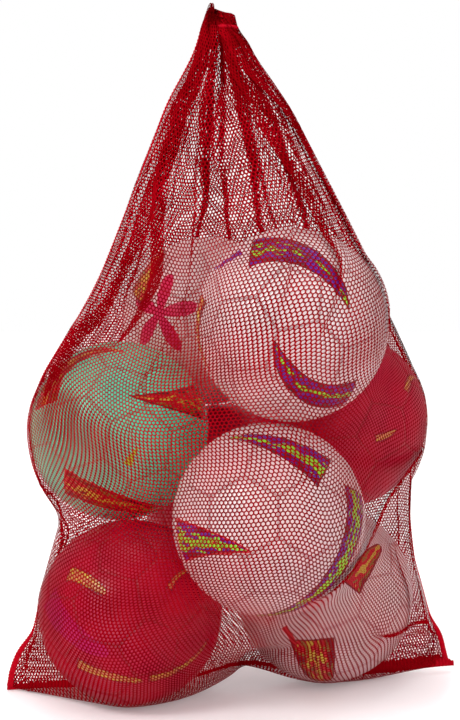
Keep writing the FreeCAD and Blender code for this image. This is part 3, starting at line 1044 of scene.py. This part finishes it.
FLOWER = {"ball": "top_back_ball", "place": (-123, 8), "radius": 0.052, "colour": (0.66, 0.01, 0.11)}


def add_flower(shader, base):
    """Prints a plain shape with five petals over the base colour."""
    middle = direction(*FLOWER["place"])
    side = unit(np.cross((0.0, 0.0, 1.0), middle))
    up = np.cross(middle, side)
    point = shader.unit(shader.place)
    x, y = shader.dot(point, side), shader.dot(point, up)
    turn = shader.math("MULTIPLY", shader.math("ARCTAN2", y, x), 5.0)
    wave = shader.math("SINE", shader.math("ADD", turn, 0.4))
    reach = shader.math("ADD", shader.math("MULTIPLY", wave, 0.42), 0.58)
    reach = shader.math("MULTIPLY", reach, FLOWER["radius"] / BALL_RADIUS)
    squares = shader.math("ADD", shader.math("POWER", x, 2.0), shader.math("POWER", y, 2.0))
    distance = shader.math("SQRT", squares)
    near = shader.math("GREATER_THAN", shader.dot(point, middle), 0.2)
    inside = shader.math("MULTIPLY", shader.math("LESS_THAN", distance, reach), near)
    return shader.mix(inside, base, (*FLOWER["colour"], 1.0))


# Painted shade: a dark red laid into the balls' grooves, for the shade that falls into them.
GROOVE_SHADE_COLOUR = (0.22, 0.02, 0.03)
GROOVE_SHADE_SHARE = 0.45        # share of the painted groove shade mixed in, and share of the grooves' depth where it starts


def ball_material(name, slot):
    """Grained polyurethane leather with the ball's printed stripes."""
    shader = Shader(f"{name}_leather")
    colour = BALL_BASES[slot.split("_")[0]]
    worn = tuple(channel * 0.90 for channel in colour)
    base = shader.ramp(shader.noise(shader.place, 14.0, 3.0), [(0.35, worn), (0.65, colour)])
    if name == FLOWER["ball"]:
        base = add_flower(shader, base)
    for shape in STRIPES[name]:
        base = add_stripe(shader, base, shape)
    # Painted shade in the panel grooves, where they are deeper than a share of their depth.
    below = shader.math("SUBTRACT", BALL_RADIUS, shader.length(shader.place))
    sunk = shader.math("DIVIDE", below, GROOVE_DEPTH)
    line = shader.math("MULTIPLY", shader.math("GREATER_THAN", sunk, GROOVE_SHADE_SHARE), GROOVE_SHADE_SHARE)
    base = shader.mix(line, base, (*GROOVE_SHADE_COLOUR, 1.0))
    shader.feed(shader.surface.inputs["Base Color"], base)
    shader.surface.inputs["Roughness"].default_value = 0.34
    shader.surface.inputs["Specular IOR Level"].default_value = 0.5
    shader.bump(shader.noise(shader.place, 900.0, 1.0), 0.00015, 0.5)
    return shader.material


def make_balls():
    """Each ball's leather, turned so that its dimple is at the CAD valve."""
    points, faces = ball_mesh_points()
    slots = {part["node"]: part["material_slot"] for part in frame["record"]["subparts"]}
    for name, centre in BALL_CENTRES.items():
        valve = unit(centre_of(f"{name}_valve") - centre)
        turn = Vector((0, 0, 1)).rotation_difference(Vector(valve)).to_matrix()
        turned = points @ np.array(turn).T
        node = f"{name}_cover"
        piece = mesh_piece(f"{name}_leather", turned, faces, ball_material(name, slots[node]))
        piece.location = centre
        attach(piece, name)
        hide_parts(node)


# ---- Other materials ----

def dull_material(name, dark, light, roughness, scale):
    """Yarn or rubber without shine, a little uneven in shade."""
    shader = Shader(name)
    base = shader.ramp(shader.noise(shader.place, scale, 3.0), [(0.35, dark), (0.65, light)])
    shader.feed(shader.surface.inputs["Base Color"], base)
    shader.surface.inputs["Roughness"].default_value = roughness
    shader.surface.inputs["Specular IOR Level"].default_value = 0.0
    return shader.material


def dress_cad_nodes(materials):
    """Gives the CAD pieces that stay in view their materials."""
    for part in frame["record"]["subparts"]:
        material = materials.get(part["material_slot"])
        if material is None:
            continue
        for slot in frame["nodes"][part["node"]].material_slots:
            slot.material = material


RED_NET = dull_material("red_net_yarn", (0.175, 0.0004, 0.002), (0.260, 0.0008, 0.004), 0.6, 22.0)
SEAM_RED = dull_material("seam_yarn", (0.30, 0.002, 0.008), (0.40, 0.003, 0.010), 0.7, 400.0)
CORD_RED = dull_material("cord_yarn", (0.30, 0.003, 0.010), (0.42, 0.004, 0.014), 0.7, 500.0)
RUBBER = dull_material("bladder_rubber", (0.10, 0.10, 0.10), (0.14, 0.14, 0.14), 0.6, 60.0)
VALVE = dull_material("valve_rubber", (0.03, 0.03, 0.03), (0.05, 0.05, 0.05), 0.5, 300.0)

make_balls()
make_net(RED_NET)
make_side_seam("left_seam_band", 0.0, SEAM_RED, "left_side_seam")
make_side_seam("right_seam_band", PANEL_WIDTH, SEAM_RED, "right_side_seam")
make_bottom_seam(SEAM_RED)
make_hem(RED_NET)
dress_cad_nodes({"cord": CORD_RED, "bladder": RUBBER, "valve": VALVE})
